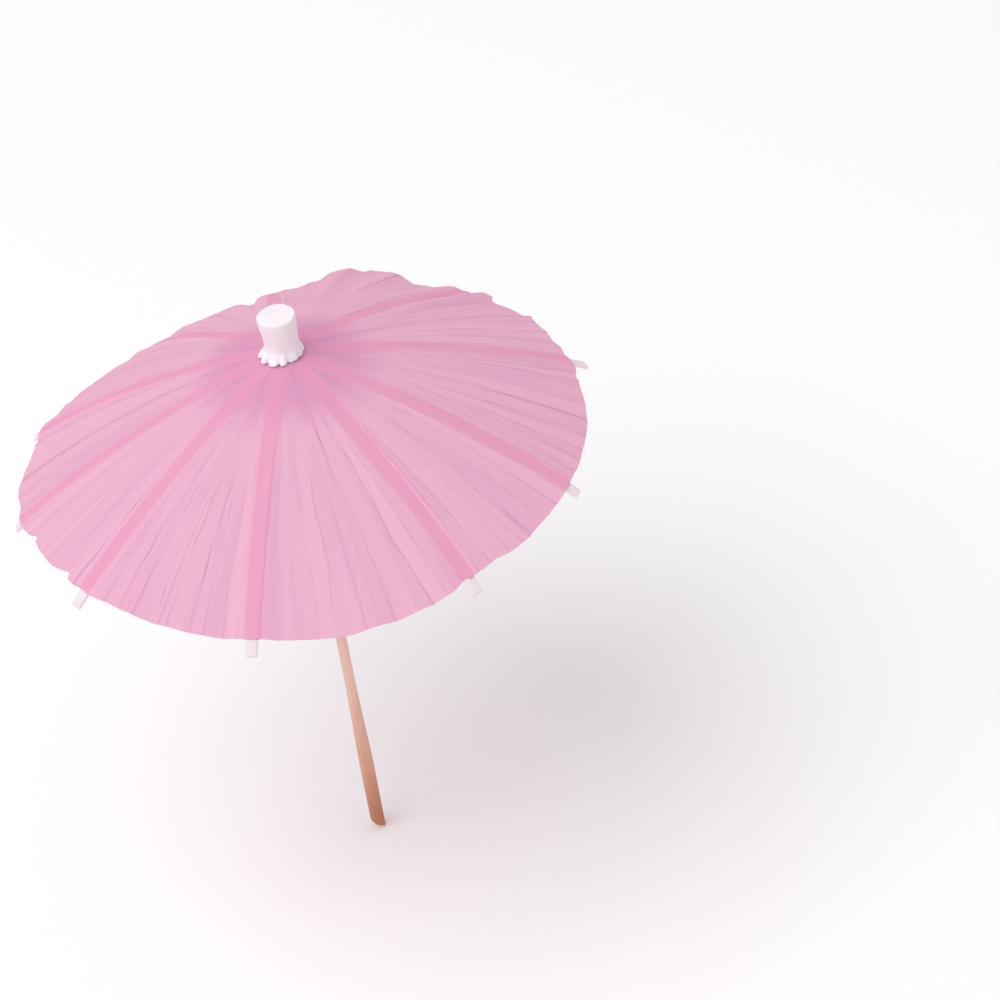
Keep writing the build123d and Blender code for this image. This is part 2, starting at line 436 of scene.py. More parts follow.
@dataclass(frozen=True)
class RingFinish:
    """Cut plastic tube of the small ring."""

    body: Colour = shade(240, 236, 230)
    scuff: Colour = shade(214, 206, 198)

    def make(self) -> Material:
        """Makes the material."""
        tree = FinishTree("ring_plastic")
        scuffs = tree.noise(tree.place("Object", (1.0, 1.0, 4.0)), 900.0, 4, 0.6)
        colour = tree.mix(tree.between(0.5, 0.8, scuffs) * 0.5, self.body, self.scuff)
        rough = 0.3 + 0.3 * scuffs
        shader = tree.surface(colour, rough, tree.bump(scuffs, 0.15, 0.00005), Coat_Weight=0.15)
        return tree.finish(shader)


class Bench:
    """Workbench: modelling operators, each on one piece with nothing else selected.

    Attributes:
        finishes: The materials by the slot that they fill.
    """

    finishes: dict[str, Material] = {}

    @staticmethod
    def clear() -> None:
        """Leaves edit mode and deselects everything."""
        if bpy.context.object and bpy.context.object.mode != "OBJECT":
            bpy.ops.object.mode_set(mode="OBJECT")
        bpy.ops.object.select_all(action="DESELECT")

    @staticmethod
    def take(piece: Piece) -> None:
        """Selects one piece alone and makes it the active one."""
        Bench.clear()
        piece.select_set(True)
        bpy.context.view_layer.objects.active = piece

    @staticmethod
    @contextmanager
    def editing(piece: Piece) -> Iterator[None]:
        """Edit mode on one piece with all of it selected."""
        Bench.take(piece)
        bpy.ops.object.mode_set(mode="EDIT")
        bpy.ops.mesh.select_mode(type="VERT")
        bpy.ops.mesh.select_all(action="SELECT")
        yield
        bpy.ops.object.mode_set(mode="OBJECT")

    @staticmethod
    def added(name: str) -> Piece:
        """Names the primitive just added and puts its place into its mesh."""
        piece = bpy.context.object
        piece.name = name
        piece.data.name = name
        bpy.ops.object.transform_apply(location=True, rotation=True, scale=True)
        return piece

    @staticmethod
    def turned(name: str, profile: Profile, sides: int) -> Piece:
        """A turned shape round the stick's axis, extruded ring by ring from a circle.

        Args:
            name: The piece's name.
            profile: Radius and height of each ring in millimetres; a radius near 0 closes an end.
            sides: Points round a ring.

        Returns:
            The new piece.
        """
        Bench.clear()
        radius, height = profile[0]
        bpy.ops.mesh.primitive_circle_add(vertices=sides, radius=radius * MM, location=(0, 0, height * MM))
        piece = Bench.added(name)
        with Bench.editing(piece):
            for next_radius, next_height in profile[1:]:
                rise = (0, 0, (next_height - height) * MM)
                bpy.ops.mesh.extrude_region_move(TRANSFORM_OT_translate={"value": rise})
                scale = next_radius / radius
                bpy.ops.transform.resize(value=(scale, scale, 1), center_override=(0, 0, next_height * MM))
                radius, height = next_radius, next_height
            bpy.ops.mesh.select_all(action="SELECT")
            bpy.ops.mesh.remove_doubles(threshold=0.004 * MM)
            bpy.ops.mesh.normals_make_consistent(inside=False)
        return piece

    @staticmethod
    def strip(name: str, start: float, end: float, width: float, depth: tuple[float, float], steps: int) -> Piece:
        """A strip along X with softened edges, extruded step by step from its end face.

        Args:
            name: The piece's name.
            start: Where it starts in millimetres.
            end: Where it ends.
            width: Its width across Y.
            depth: Its lowest and highest Z.
            steps: Steps along it.

        Returns:
            The new piece.
        """
        Bench.clear()
        low, high = depth
        where = (start * MM, 0, (low + high) / 2 * MM)
        bpy.ops.mesh.primitive_plane_add(size=1, location=where, rotation=(0, pi / 2, 0))
        bpy.context.object.scale = ((high - low) * MM, width * MM, 1)
        piece = Bench.added(name)
        with Bench.editing(piece):
            bpy.ops.mesh.bevel(offset=(high - low) * 0.24 * MM, segments=2, affect="VERTICES")
            bpy.ops.mesh.select_all(action="SELECT")
            for _ in range(steps):
                step = ((end - start) / steps * MM, 0, 0)
                bpy.ops.mesh.extrude_region_move(TRANSFORM_OT_translate={"value": step})
            bpy.ops.mesh.select_all(action="SELECT")
            bpy.ops.mesh.fill_holes(sides=0)
            bpy.ops.mesh.normals_make_consistent(inside=False)
        return piece

    @staticmethod
    def rolled(name: str, radii: tuple[float, float], heights: tuple[float, float], turns: float, start: int) -> Piece:
        """A strip of paper rolled up into a tube.

        Args:
            name: The piece's name.
            radii: Inner and outer radius in millimetres.
            heights: Lower and upper end.
            turns: How many times it goes round.
            start: Where its loose outer edge lies, in degrees.

        Returns:
            The new piece.
        """
        Bench.clear()
        bpy.ops.mesh.primitive_grid_add(x_subdivisions=int(turns * 44), y_subdivisions=14, size=1)
        piece = Bench.added(name)
        points = Bench.points(piece)
        share, level = points[:, 0] + 0.5, points[:, 1] + 0.5
        pitch = (radii[1] - radii[0]) / turns
        sheet = pitch * 0.8
        turn = radians(start) + (share - 1) * turns * tau
        radius = radii[0] + sheet / 2 + share * (radii[1] - radii[0] - sheet)
        ragged = np.abs(Grain(Seed.ROLL_EDGE + start).at(share * turns * 9, 3.0)) * 0.06
        height = heights[0] + level * (heights[1] - heights[0])
        height -= ragged * ((level > 0.99).astype(float) - (level < 0.01))
        rolled = np.stack([radius * np.cos(turn), radius * np.sin(turn), height], 1)
        Bench.shape(piece, rolled)
        Bench.modify(piece, "SOLIDIFY", thickness=sheet * MM, offset=0.0)
        with Bench.editing(piece):
            bpy.ops.mesh.normals_make_consistent(inside=False)
        return piece

    @staticmethod
    def points(piece: Piece) -> Array:
        """The piece's points, in metres."""
        flat = np.empty(len(piece.data.vertices) * 3)
        piece.data.vertices.foreach_get("co", flat)
        return flat.reshape(-1, 3)

    @staticmethod
    def shape(piece: Piece, points: Array) -> None:
        """Moves the piece's points to places in millimetres."""
        piece.data.vertices.foreach_set("co", (points * MM).ravel())
        piece.data.update()

    @staticmethod
    def modify(piece: Piece, kind: str, **settings: Any) -> None:
        """Adds a modifier with settings and applies it."""
        Bench.take(piece)
        modifier = piece.modifiers.new(kind.lower(), kind)
        for key, value in settings.items():
            setattr(modifier, key, value)
        bpy.ops.object.modifier_apply(modifier=modifier.name)

    @staticmethod
    def copy(piece: Piece, name: str) -> Piece:
        """A copy of a piece with its own mesh."""
        made = piece.copy()
        made.data = piece.data.copy()
        made.name = made.data.name = name
        bpy.context.scene.collection.objects.link(made)
        return made

    @staticmethod
    def join(main: Piece, *others: Piece) -> Piece:
        """Joins other pieces into the first."""
        Bench.take(main)
        for other in others:
            other.select_set(True)
        bpy.ops.object.join()
        return main

    @staticmethod
    def discard(piece: Piece) -> None:
        """Removes a pattern piece that was only copied."""
        mesh = piece.data
        bpy.data.objects.remove(piece)
        bpy.data.meshes.remove(mesh)

    @staticmethod
    def smooth(piece: Piece, angle: float = 40.0) -> None:
        """Shades the piece smoothly where faces meet at less than an angle in degrees."""
        Bench.take(piece)
        bpy.ops.object.shade_smooth_by_angle(angle=radians(angle))

    @staticmethod
    def carry(piece: Piece, **marks: Array) -> None:
        """Gives the piece's points numbers under names."""
        for name, values in marks.items():
            layer = piece.data.attributes.new(name, "FLOAT", "POINT")
            layer.data.foreach_set("value", np.asarray(values, np.float32).ravel())

    @staticmethod
    def flatten_out(piece: Piece, flat: Array) -> None:
        """Gives the piece a UV map from a flat place in millimetres for each point."""
        loops = np.empty(len(piece.data.loops), int)
        piece.data.loops.foreach_get("vertex_index", loops)
        layer = piece.data.uv_layers.new(name="flat")
        layer.data.foreach_set("uv", (flat / FLAT_SPAN)[loops].astype(np.float32).ravel())

    @staticmethod
    def flatten(piece: Piece, axis: Array, anchor: Array, keep: float) -> None:
        """Gives the piece its own copy of its mesh.

        Args:
            piece: The piece.
            axis: Not used.
            anchor: A place on the plane that it is pressed onto, in millimetres.
            keep: Not used.
        """
        tuple(anchor * MM)
        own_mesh(piece)

    @staticmethod
    def settle(piece: Piece, body: str, node: str, slot: str) -> None:
        """Lays a piece on its body in place of a solid, and gives it its finish.

        Args:
            piece: The piece.
            body: The body that it rides.
            node: The solid that it stands for.
            slot: The slot of its finish.
        """
        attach(piece, body)
        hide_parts(node)
        piece.data.materials.append(Bench.finishes[slot])


@dataclass(frozen=True)
class CanopyPlan:
    """Plan of the open canopy, in millimetres and radians, as the solids have it.

    Attributes:
        azimuths: Where the ribs stand round the stick, in degrees.
        slope: Slope of a straight rib below level.
        paper_radius: Distance of the paper's edge from the stick's axis.
        crown_radius: Distance of the ribs' folds from it.
        crown_height: Height of the ribs' folds over the stick's tip.
        crease_half: Distance of a crease from its rib's middle line.
        paper_level: Height of the paper over a straight rib's underside.
        hinge_level: Height over a straight rib's underside of the line that a half gore turns about.
        closed_level: Height over a straight rib's underside where the closed bands lie.
        closed_share: How much of its open bow and folds the closed canopy keeps.
        closed_drops: How far under that level the closed halves of the gore after each rib start.
        closed_falls: How much further under it they end at the rim's pleat.
        strut_length: Length of a strut between its folds.
        strut_slope: Its slope when open.
        runner_height: Height of the struts' lower folds when open.
        anchor_along: Where along a rib the plane is set that its closed pieces are pressed onto.
        bow: How far an open rib springs up at mid length.
        rib_lifts: How far each rib's end stands over its straight place.
        pleat_lifts: The same for the middle of the gore that follows each rib.
        waves: Azimuth and half width in degrees, and height, of each wave in the rim.
    """

    azimuths: tuple[float, ...] = (-90.0, -46.5, -15.5, 25.0, 62.5, 106.5, 137.0, 172.5, 203.0, 233.5)
    slope: float = radians(22.8)
    paper_radius: float = 41.5
    crown_radius: float = 2.47
    crown_height: float = 93.4
    crease_half: float = 0.8
    paper_level: float = 0.575
    hinge_level: float = 0.975
    closed_level: float = 0.94
    closed_share: float = 0.03
    closed_drops: tuple[float, ...] = (0.44, 0.095, 0.36, 0.26, 0.46, 0.08, 0.21, 0.08, 0.08, 0.235)
    closed_falls: tuple[float, ...] = (-0.335, 0.13, -0.19, -0.07, -0.31, 0.095, -0.07, 0.115, 0.18, -0.045)
    strut_length: float = 20.0075
    strut_slope: float = radians(21.232)
    runner_height: float = 78.909
    anchor_along: float = 10.0
    bow: float = 1.57
    rib_lifts: tuple[float, ...] = (-0.9, -0.2, 0.55, 0.9, 0.3, -1.0, -2.5, -0.75, 0.0, 1.25)
    pleat_lifts: tuple[float, ...] = (-0.9, 0.2, 0.8, 0.75, 1.4, -1.9, -2.2, -1.0, 1.6, 0.3)
    waves: tuple[tuple[float, float, float], ...] = (
        (57.0, 3.5, 0.5),
        (73.5, 7.0, -0.9),
        (91.5, 5.5, 0.85),
        (112.0, 2.5, -0.6),
    )

    @property
    def numbers(self) -> range:
        """The ribs' numbers, counted from 1."""
        return range(1, len(self.azimuths) + 1)

    def axes(self, number: int) -> tuple[Array, Array, Array, Array]:
        """Directions of a rib: outward and sideways on the level, along the rib, and out of the canopy."""
        turn = radians(self.azimuths[number - 1])
        outward = np.array((cos(turn), sin(turn), 0.0))
        sideways = np.array((-sin(turn), cos(turn), 0.0))
        along = outward * cos(self.slope) - UP * sin(self.slope)
        normal = outward * sin(self.slope) + UP * cos(self.slope)
        return outward, sideways, along, normal

    def on_rib(self, number: int, along: Number, across: Number, out: Number) -> Array:
        """Places along, across and out of a straight rib's underside.

        Args:
            number: The rib.
            along: Distance from its fold at the crown.
            across: Distance from its middle line.
            out: Distance over its underside.

        Returns:
            The places in the part's frame.
        """
        outward, sideways, run, normal = self.axes(number)
        along, across, out = np.broadcast_arrays(along, across, out)
        origin = outward * self.crown_radius + UP * self.crown_height
        return origin + along[..., None] * run + across[..., None] * sideways + out[..., None] * normal

    def facing(self, points: Array) -> Array:
        """Direction out of the canopy's cone at each place."""
        level = points[..., :2] / np.maximum(np.linalg.norm(points[..., :2], axis=-1, keepdims=True), 1e-6)
        height = np.full(level.shape[:-1] + (1,), cos(self.slope))
        return np.concatenate([level * sin(self.slope), height], -1)

    def reach(self, points: Array) -> Array:
        """Share of the way from the crown to the paper's edge."""
        radius, _ = polar(points)
        return (radius - self.crown_radius) / (self.paper_radius - self.crown_radius)

    def rise(self, reach: Number, lift: Number) -> Number:
        """How far the open canopy stands over the straight one."""
        return 4 * self.bow * reach * (1 - reach) + lift * reach**2

    def wave(self, azimuth: Array, reach: Array) -> Array:
        """How far the paper waves up or down towards the rim, at azimuths in radians."""
        total = sum(height * swell(azimuth, middle, half_width) for middle, half_width, height in self.waves)
        return total * ease(0.55, 1.0, reach)

    def rib_rise(self, number: int, along: Array) -> Array:
        """How far a rib's middle line stands over its straight place."""
        line = self.on_rib(number, along, 0.0, self.paper_level)
        return self.rise(self.reach(line), self.rib_lifts[number - 1])


@dataclass(frozen=True)
class HalfGore:
    """Half a gore of the paper, from a rib's crease to the middle of the gore."""

    plan: CanopyPlan
    number: int
    side: Side

    @property
    def gore(self) -> int:
        """Place of its gore in the round, counted from the first rib."""
        return (self.number - (1 if self.side is Side.RIGHT else 2)) % len(self.plan.azimuths)

    @property
    def half_angle(self) -> float:
        """Half the angle between the gore's two ribs."""
        angles = self.plan.azimuths
        return radians((angles[(self.gore + 1) % len(angles)] - angles[self.gore]) % 360) / 2

    @property
    def apex_radius(self) -> float:
        """Distance of its point from the stick's axis."""
        return self.plan.crease_half / tan(self.half_angle)

    @property
    def wedge(self) -> float:
        """Angle at its point."""
        slope = self.plan.slope
        return acos(cos(slope) ** 2 * cos(self.half_angle) + sin(slope) ** 2)

    @property
    def length(self) -> float:
        """Distance from its point to the rim."""
        return (self.plan.paper_radius - self.apex_radius) / cos(self.plan.slope)

    @property
    def start(self) -> float:
        """Distance of its point from the rib's fold, along the rib."""
        plan = self.plan
        return (self.apex_radius - plan.crown_radius - plan.paper_level * sin(plan.slope)) / cos(plan.slope)

    @property
    def closed_level(self) -> float:
        """Height over a straight rib's underside where its crease lies when closed."""
        return self.plan.closed_level - self.plan.closed_drops[self.gore]

    @property
    def margin(self) -> float:
        """How far the band reaches under it, so that the closed crease stays covered."""
        return max(0.02, 0.92 * (self.plan.hinge_level - self.closed_level) - 0.1)

    def frame(self) -> tuple[Array, Array, Array]:
        """Its point, its direction down the crease and its direction towards the pleat."""
        plan, slope = self.plan, self.plan.slope
        _, sideways, along, normal = plan.axes(self.number)
        apex = plan.on_rib(self.number, self.start, self.side.value * plan.crease_half, plan.paper_level)
        fall = atan2(cos(slope) * sin(slope) * (cos(self.half_angle) - 1), cos(slope) * sin(self.half_angle))
        pleatwards = sideways * (self.side.value * cos(fall)) + normal * sin(fall)
        return apex, along, pleatwards


@dataclass(frozen=True)
class RimCut:
    """The paper's edge, cut and torn by hand: how far it leaves the true circle.

    Attributes:
        corners: Azimuth in degrees, and distance outside the circle in millimetres, of each corner of the cut.
    """

    corners: tuple[tuple[float, float], ...] = (
        *((0.0, -0.4), (8.0, -0.5), (18.0, -0.9), (23.5, -0.3), (27.0, -0.75), (30.0, -0.45), (33.0, -0.85)),
        *((40.0, -0.35), (44.0, 0.0), (48.0, -0.45), (54.8, -0.6), (55.4, 0.3), (66.0, -0.1), (70.0, -0.6)),
        *((71.0, -0.1), (75.0, -0.5), (76.0, 0.2), (82.0, 0.3), (84.0, -0.5), (85.0, 0.3), (93.0, 0.4), (96.0, -0.5)),
        *((109.8, 0.3), (110.5, -1.2), (114.0, -0.2), (118.0, -0.5), (122.0, 0.0), (126.0, -0.4), (131.0, 0.1)),
        *((134.0, -0.5), (148.0, -0.6), (150.0, 0.0), (174.0, -0.1), (179.0, -0.95), (182.0, -0.85), (187.0, 0.0)),
        *((188.5, 0.6), (190.0, 0.7), (196.0, 0.0), (200.0, -0.25), (202.0, 0.3), (204.5, 0.3), (208.5, -0.35)),
        *((212.7, -1.5), (213.3, -0.95), (223.0, -0.8), (227.8, -1.5), (228.6, -0.6), (236.0, -0.4), (240.0, -0.7)),
        *((252.0, -0.15), (272.0, 0.1), (284.0, 0.7), (289.0, 0.9), (307.0, 0.55), (310.0, 0.4), (312.8, -0.4)),
        *((313.6, 0.0), (320.5, -0.35), (324.0, 0.1), (345.0, -0.1), (360.0, -0.4)),
    )

    def at(self, azimuth: Array) -> Array:
        """Distance outside the true circle at azimuths in radians."""
        turn = azimuth / tau
        front = 0.5 * (1 - np.sin(azimuth))
        torn = 0.35 + 0.65 * (1 - ease(0.55, 0.95, front))
        places, offsets = zip(*self.corners)
        cut = np.interp(np.degrees(azimuth) % 360, places, offsets)
        cut = cut + 0.07 * Grain(Seed.RIM_CUT, 4, 44).at(0.5, turn * 44)
        tear = 0.16 * Grain(Seed.RIM_TEAR, 4, 150).at(0.5, turn * 150)
        return cut + torn * (tear + 0.11 * Grain(Seed.RIM_FIBRE, 4, 420).at(0.5, turn * 420))


@dataclass(frozen=True)
class Crumple:
    """Folds pressed into half a gore by the closed canopy.

    Attributes:
        seed: Seed of this half gore.
        lines: How many fold lines it has.
        pleat: Height of its middle fold, as a share of the tallest.
        height: Height of the tallest fold at the rim in millimetres.
    """

    seed: int
    lines: int
    pleat: float
    height: float = 0.24

    def press(self, across: Array, reach: Array, width: Array) -> tuple[Array, Array, Array]:
        """Heights of the folds, painted shade in the creases with painted highlights beside them, and painted light and
        shade on the facets between.

        Args:
            across: Share of the way from the crease to the pleat, rows down the paper.
            reach: Share of the way to the rim for each row.
            width: Width of the half gore at each row in millimetres.

        Returns:
            Heights in millimetres, marks below 0 for painted shade in a crease and above 0 for a painted highlight
            beside it, and painted facet shading from -1 to 1.
        """
        luck = np.random.default_rng(self.seed)
        count = np.arange(self.lines)
        places = ((count + 0.5 + luck.uniform(-0.34, 0.34, self.lines)) / self.lines) ** 1.15
        signs = np.where(count % 2 == luck.integers(2), 1.0, -1.0)
        deep = luck.uniform(0.4, 1.0, self.lines)
        begins = luck.uniform(-0.05, 0.5, self.lines)
        drifts = luck.uniform(-0.05, 0.05, self.lines)
        # Side and distance of the painted highlight beside each crease.
        beside = luck.uniform(0.3, 0.5, self.lines) * luck.choice((-1.0, 1.0), self.lines)
        # Painted light and shade of each facet, lighter or darker at random.
        facet_shading = luck.uniform(-1.0, 1.0, self.lines + 1)
        waver, fade = Grain(self.seed + 1), Grain(self.seed + 2)
        height, mark, tone = np.zeros(across.shape), np.zeros(across.shape), np.zeros(across.shape)
        for row, share in enumerate(reach):
            room = max(width[row], 1.0)
            wander = (0.17 * waver.at(share * 13, count * 3.3) + 0.3 * waver.at(share * 4, count * 3.3 + 20)) / room
            lines = np.sort(np.clip(places + drifts * (share - 0.5) + wander, 0.03, 0.97))
            clear = ease(0.08, 0.42, share)
            strength = deep * ease(0, 0.16, share - begins) * (0.35 + 0.65 * share)
            strength *= (0.75 + 0.35 * fade.at(share * 9, count * 3.3)) * clear
            middle = self.pleat * (0.1 + 0.9 * share)
            knots = np.concatenate([[0.0], lines, [1.0]])
            tall = np.concatenate([[0.0], signs * strength, [middle]])
            height[row] = self.height * np.interp(across[row], knots, tall)
            away = (across[row][:, None] - lines[None, :]) * width[row]
            # Painted highlight beside each crease.
            mark[row] = (0.55 * np.exp(-(((away - beside) / 0.24) ** 2)) * strength).sum(1)
            # Painted shade in each crease.
            mark[row] -= (np.exp(-((away / 0.17) ** 2)) * strength).sum(1)
            # Painted shade along the middle fold.
            mark[row] -= np.exp(-(((across[row] - 1) * width[row] / 0.16) ** 2)) * abs(middle) * clear
            # Painted light and shade of the facets.
            tone[row] = facet_shading[np.searchsorted(lines, across[row])] * ease(0.1, 0.6, share)
        return height, mark, tone


@dataclass
class Canopy:
    """The tissue paper: a centre, a band glued along each rib and half gores between them.

    Attributes:
        plan: Plan of the canopy.
        rim: The cut of its edge.
        columns: Steps across a half gore.
        rows: Steps down the paper.
        paper: Thickness of the paper in millimetres.
        over_level: How far its upper face lies over the plan's paper level.
        tuck: How far a band's margins dip under the half gores.
        band_start: Where a band starts along its rib.
        point: How far from its point a half gore starts.
        groove: How far inside the crease a band starts to dip.
    """

    plan: CanopyPlan
    rim: RimCut = field(default_factory=RimCut)
    columns: int = 66
    rows: int = 96
    paper: float = 0.12
    over_level: float = 0.075
    tuck: float = 0.13
    band_start: float = -0.2
    point: float = 0.3
    groove: float = 0.005

    def sheet(self, name: str, points: Array, turned_over: bool, **marks: Array) -> Piece:
        """Makes a paper piece from rows of places.

        Args:
            name: The piece's name.
            points: Places of its upper face, rows down the paper.
            turned_over: Whether the rows run the other way round.
            marks: Numbers that its points carry.

        Returns:
            The closed thin sheet.
        """
        rows, columns = points.shape[:2]
        index = np.arange(rows * columns).reshape(rows, columns)
        quads = np.stack([index[:-1, :-1], index[1:, :-1], index[1:, 1:], index[:-1, 1:]], -1).reshape(-1, 4)
        if turned_over:
            quads = quads[:, ::-1]
        places = points.reshape(-1, 3)
        mesh = bpy.data.meshes.new(name)
        mesh.from_pydata((places * MM).tolist(), [], quads.tolist())
        piece = bpy.data.objects.new(name, mesh)
        bpy.context.scene.collection.objects.link(piece)
        Bench.flatten_out(piece, places[:, :2])
        Bench.carry(piece, **marks)
        Bench.modify(piece, "SOLIDIFY", thickness=self.paper * MM, offset=-1.0)
        Bench.smooth(piece, 28)
        return piece

    def marks(self, points: Array, from_rib: Array, crease: Array, facet: Array) -> dict[str, Array]:
        """Numbers for the finish: band, hub, painted crease shading and tone at each place.

        Args:
            points: Places on the paper.
            from_rib: Distance from the rib's middle line.
            crease: Marks for painted shade in the creases and painted highlights beside them.
            facet: Painted light and shade of the facets.

        Returns:
            The numbers by name.
        """
        radius, azimuth = polar(points)
        turn = azimuth / tau
        streak = Grain(Seed.STREAK, 16, 200).at(radius / 10.0, turn * 200)
        wobble = Grain(Seed.WOBBLE, 8, 90).at(radius / 6.0, turn * 90)
        glue = 0.85 + 0.15 * ease(0.5, 1.0, self.plan.reach(points))
        return {
            "band": glue * (1 - ease(0.82, 1.42, from_rib + 0.08 * wobble)),
            "hub": 1 - ease(7.4, 15.4, radius + 1.1 * wobble),
            "crease": crease,
            # Tone: painted facet shading mixed with random streaks.
            "tone": 0.6 * facet + 0.45 * streak,
        }

    def panel(self, half: HalfGore) -> Piece:
        plan = self.plan
        apex, down, pleatwards = half.frame()
        across = np.broadcast_to(np.linspace(0, 1, self.columns + 1), (self.rows + 1, self.columns + 1))
        share = np.broadcast_to(np.linspace(0, 1, self.rows + 1)[:, None] ** 0.9, across.shape)
        angle = across * half.wedge
        spread = np.cos(angle)[..., None] * down + np.sin(angle)[..., None] * pleatwards
        true_rim = apex + half.length * spread[-1]
        edge = half.length + self.rim.at(polar(true_rim)[1])
        distance = self.point + share * (edge - self.point)
        flat = apex + distance[..., None] * spread
        reach = plan.reach(flat)
        lift = (1 - across) * plan.rib_lifts[half.number - 1] + across * plan.pleat_lifts[half.gore]
        pleat = (-1.0 if half.gore % 3 else 0.8) * (0.6 + 0.1 * (half.gore % 4))
        lines = max(4, round(half.half_angle * 16))
        crumple = Crumple(Seed.GORE + 10 * half.number + half.side.value, lines, pleat)
        # crease and facet carry painted shade and painted highlights for the finish.
        fold, crease, facet = crumple.press(across, reach.mean(1), distance[:, 0] * half.wedge)
        _, azimuth = polar(flat)
        turn = azimuth / tau
        flutter = 0.2 * Grain(Seed.FLUTTER, 4, 70).at(1.5, turn * 70) * ease(0.78, 1.0, reach) * ease(0.0, 0.12, across)
        cockle = 0.022 * Grain(Seed.COCKLE, 40, 330).at(flat[..., 2] / 1.4, turn * 330)
        cockle = cockle * ease(0.0, 0.06, across) * ease(0.05, 0.4, reach)
        height = self.over_level + plan.rise(reach, lift) + plan.wave(azimuth, reach) + fold + flutter + cockle
        points = flat + plan.facing(flat) * height[..., None]
        from_rib = plan.crease_half + distance * np.sin(angle)
        name = half.side.name.lower()
        marks = self.marks(flat, from_rib, crease, facet)
        piece = self.sheet(f"paper_{half.number:02d}_{name}", points, half.side is Side.LEFT, **marks)
        Bench.settle(piece, f"panel_{half.number:02d}_{name}", f"canopy_panel_{half.number:02d}_{name}", "tissue_paper")
        normal = np.cross(down, pleatwards) * half.side.value
        anchor = apex + plan.anchor_along * down + (half.closed_level - plan.paper_level) * normal
        tilt = plan.closed_falls[half.gore] / (half.length * sin(half.wedge))
        axis = normal * cos(tilt) + pleatwards * sin(tilt)
        Bench.flatten(piece, axis, anchor, plan.closed_share)
        return piece

    def band(self, number: int) -> Piece:
        """Makes the strip of paper that is glued along a rib."""
        plan = self.plan
        middle = np.linspace(self.groove - plan.crease_half, plan.crease_half - self.groove, 9)
        across = np.concatenate([[-plan.crease_half] * 2, middle, [plan.crease_half] * 2])
        end = (plan.paper_radius - plan.crown_radius - plan.paper_level * sin(plan.slope)) / cos(plan.slope)
        rim = plan.on_rib(number, end, across, plan.paper_level)
        edge = end + self.rim.at(polar(rim)[1])
        share = np.linspace(0, 1, self.rows + 1)[:, None]
        along = self.band_start + share * (edge - self.band_start)
        across = np.broadcast_to(across, along.shape).copy()
        dip = np.where(np.abs(across) < plan.crease_half, 0.0, self.tuck)
        for side, column in ((Side.LEFT, 0), (Side.RIGHT, -1)):
            half = HalfGore(plan, number, side)
            room = 0.8 * (along[:, column] - half.start) * sin(half.wedge)
            under = np.minimum(half.margin, np.maximum(room, 0.02))
            across[:, column] += side.value * under
            dip[:, column] += 0.25 * under
        flat = plan.on_rib(number, along, across, plan.paper_level)
        height = self.over_level + plan.rise(plan.reach(flat), plan.rib_lifts[number - 1]) - dip
        points = flat + plan.facing(flat) * height[..., None]
        plain = np.zeros(along.shape)
        piece = self.sheet(f"paper_band_{number:02d}", points, False, **self.marks(flat, np.abs(across), plain, plain))
        Bench.settle(piece, f"rib_{number:02d}", f"canopy_band_{number:02d}", "tissue_paper")
        anchor = plan.on_rib(number, plan.anchor_along, 0.0, plan.closed_level)
        Bench.flatten(piece, plan.axes(number)[3], anchor, plan.closed_share)
        return piece

    def centre(self) -> Piece:
        """Makes the middle of the paper, drawn together under the cap."""
        turn = np.linspace(0, tau, 97)[None, :]
        radius = np.array([0.95, 1.6, 2.2, 2.6, 2.9, 3.15, 3.4])[:, None]
        level = np.array([94.14, 94.14, 94.13, 94.1, 94.02, 93.95, 93.86])[:, None]
        crimp = 0.05 * Grain(Seed.CRIMP, 4, 24).at(0.5, turn / tau * 24) * ease(2.4, 3.4, radius)
        points = np.stack([radius * np.cos(turn), radius * np.sin(turn), level + crimp], -1)
        plain = np.zeros(points.shape[:2])
        piece = self.sheet("paper_centre", points, False, **self.marks(points, plain + 1.4, plain, plain))
        with Bench.editing(piece):
            bpy.ops.mesh.remove_doubles(threshold=0.003 * MM)
        Bench.settle(piece, "handle", "canopy_centre", "tissue_paper")
        return piece

    def build(self) -> list[Piece]:
        """Makes the whole canopy and returns its pieces."""
        centre = self.centre()
        made = [centre]
        for number in self.plan.numbers:
            band = self.band(number)
            made.append(band)
            for side in Side:
                half = HalfGore(self.plan, number, side)
                panel = self.panel(half)
                width, length = half.length * sin(half.wedge) * MM, half.length * MM
                area = half.wedge * half.length**2 / 2 * MM * MM
                made.append(panel)
        return made


